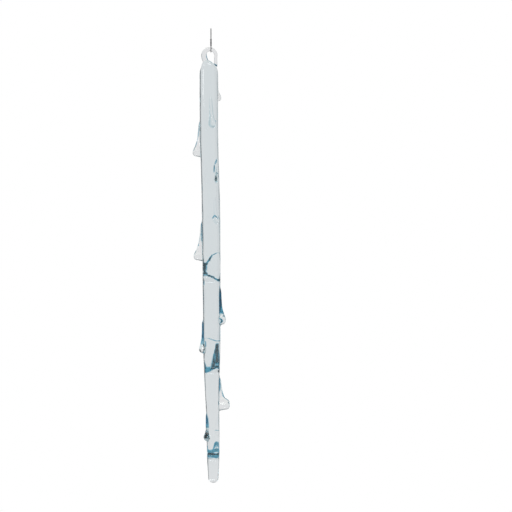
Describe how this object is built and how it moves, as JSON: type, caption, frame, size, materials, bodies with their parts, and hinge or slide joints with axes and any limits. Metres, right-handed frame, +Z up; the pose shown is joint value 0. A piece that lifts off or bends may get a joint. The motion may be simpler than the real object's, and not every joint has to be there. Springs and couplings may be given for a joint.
{
  "type": "icicle hanging ornament",
  "caption": "Long glass icicle with applied drips, hung from a glass ring by a twisted silver wire hanger with an eye at its top.",
  "frame": {"origin": "hang point: where a hook bears on the inner top of the hanger's eye", "axes": "+Z up along the hanger and the icicle, +X to the right, -Y towards the viewer; the glass ring lies in the X-Z plane and the wire hoops in the Y-Z plane"},
  "size_m": [0.0264, 0.0169, 0.3189],
  "materials": {
    "soda_lime_glass": "gloss",
    "silvered_wire": "satin"
  },
  "bodies": {
    "hanger": {"hanger_eye": "silvered_wire", "hanger_stem": "silvered_wire"},
    "bight": {"hanger_bight": "silvered_wire"},
    "icicle": {"glass_ring": "soda_lime_glass", "glass_rod": "soda_lime_glass", "drip_01_right": "soda_lime_glass", "drip_02_front": "soda_lime_glass", "drip_03_left": "soda_lime_glass", "drip_04_right": "soda_lime_glass", "drip_05_front": "soda_lime_glass", "drip_06_left": "soda_lime_glass", "drip_07_back": "soda_lime_glass", "drip_08_right": "soda_lime_glass", "drip_09_left": "soda_lime_glass", "drip_10_back": "soda_lime_glass", "drip_11_right": "soda_lime_glass", "drip_12_left": "soda_lime_glass", "drip_13_back": "soda_lime_glass"}
  },
  "joints": [
    {"name": "side_lean", "type": "hinge", "parent": "hanger", "child": "bight", "pos_m": [0, 0, -0.0117], "axis": [0, 1, 0], "range_deg": [-20, 20]},
    {"name": "swing", "type": "hinge", "parent": "bight", "child": "icicle", "pos_m": [0, 0, -0.01415], "axis": [1, 0, 0], "range_deg": [-75, 75]}
  ]
}
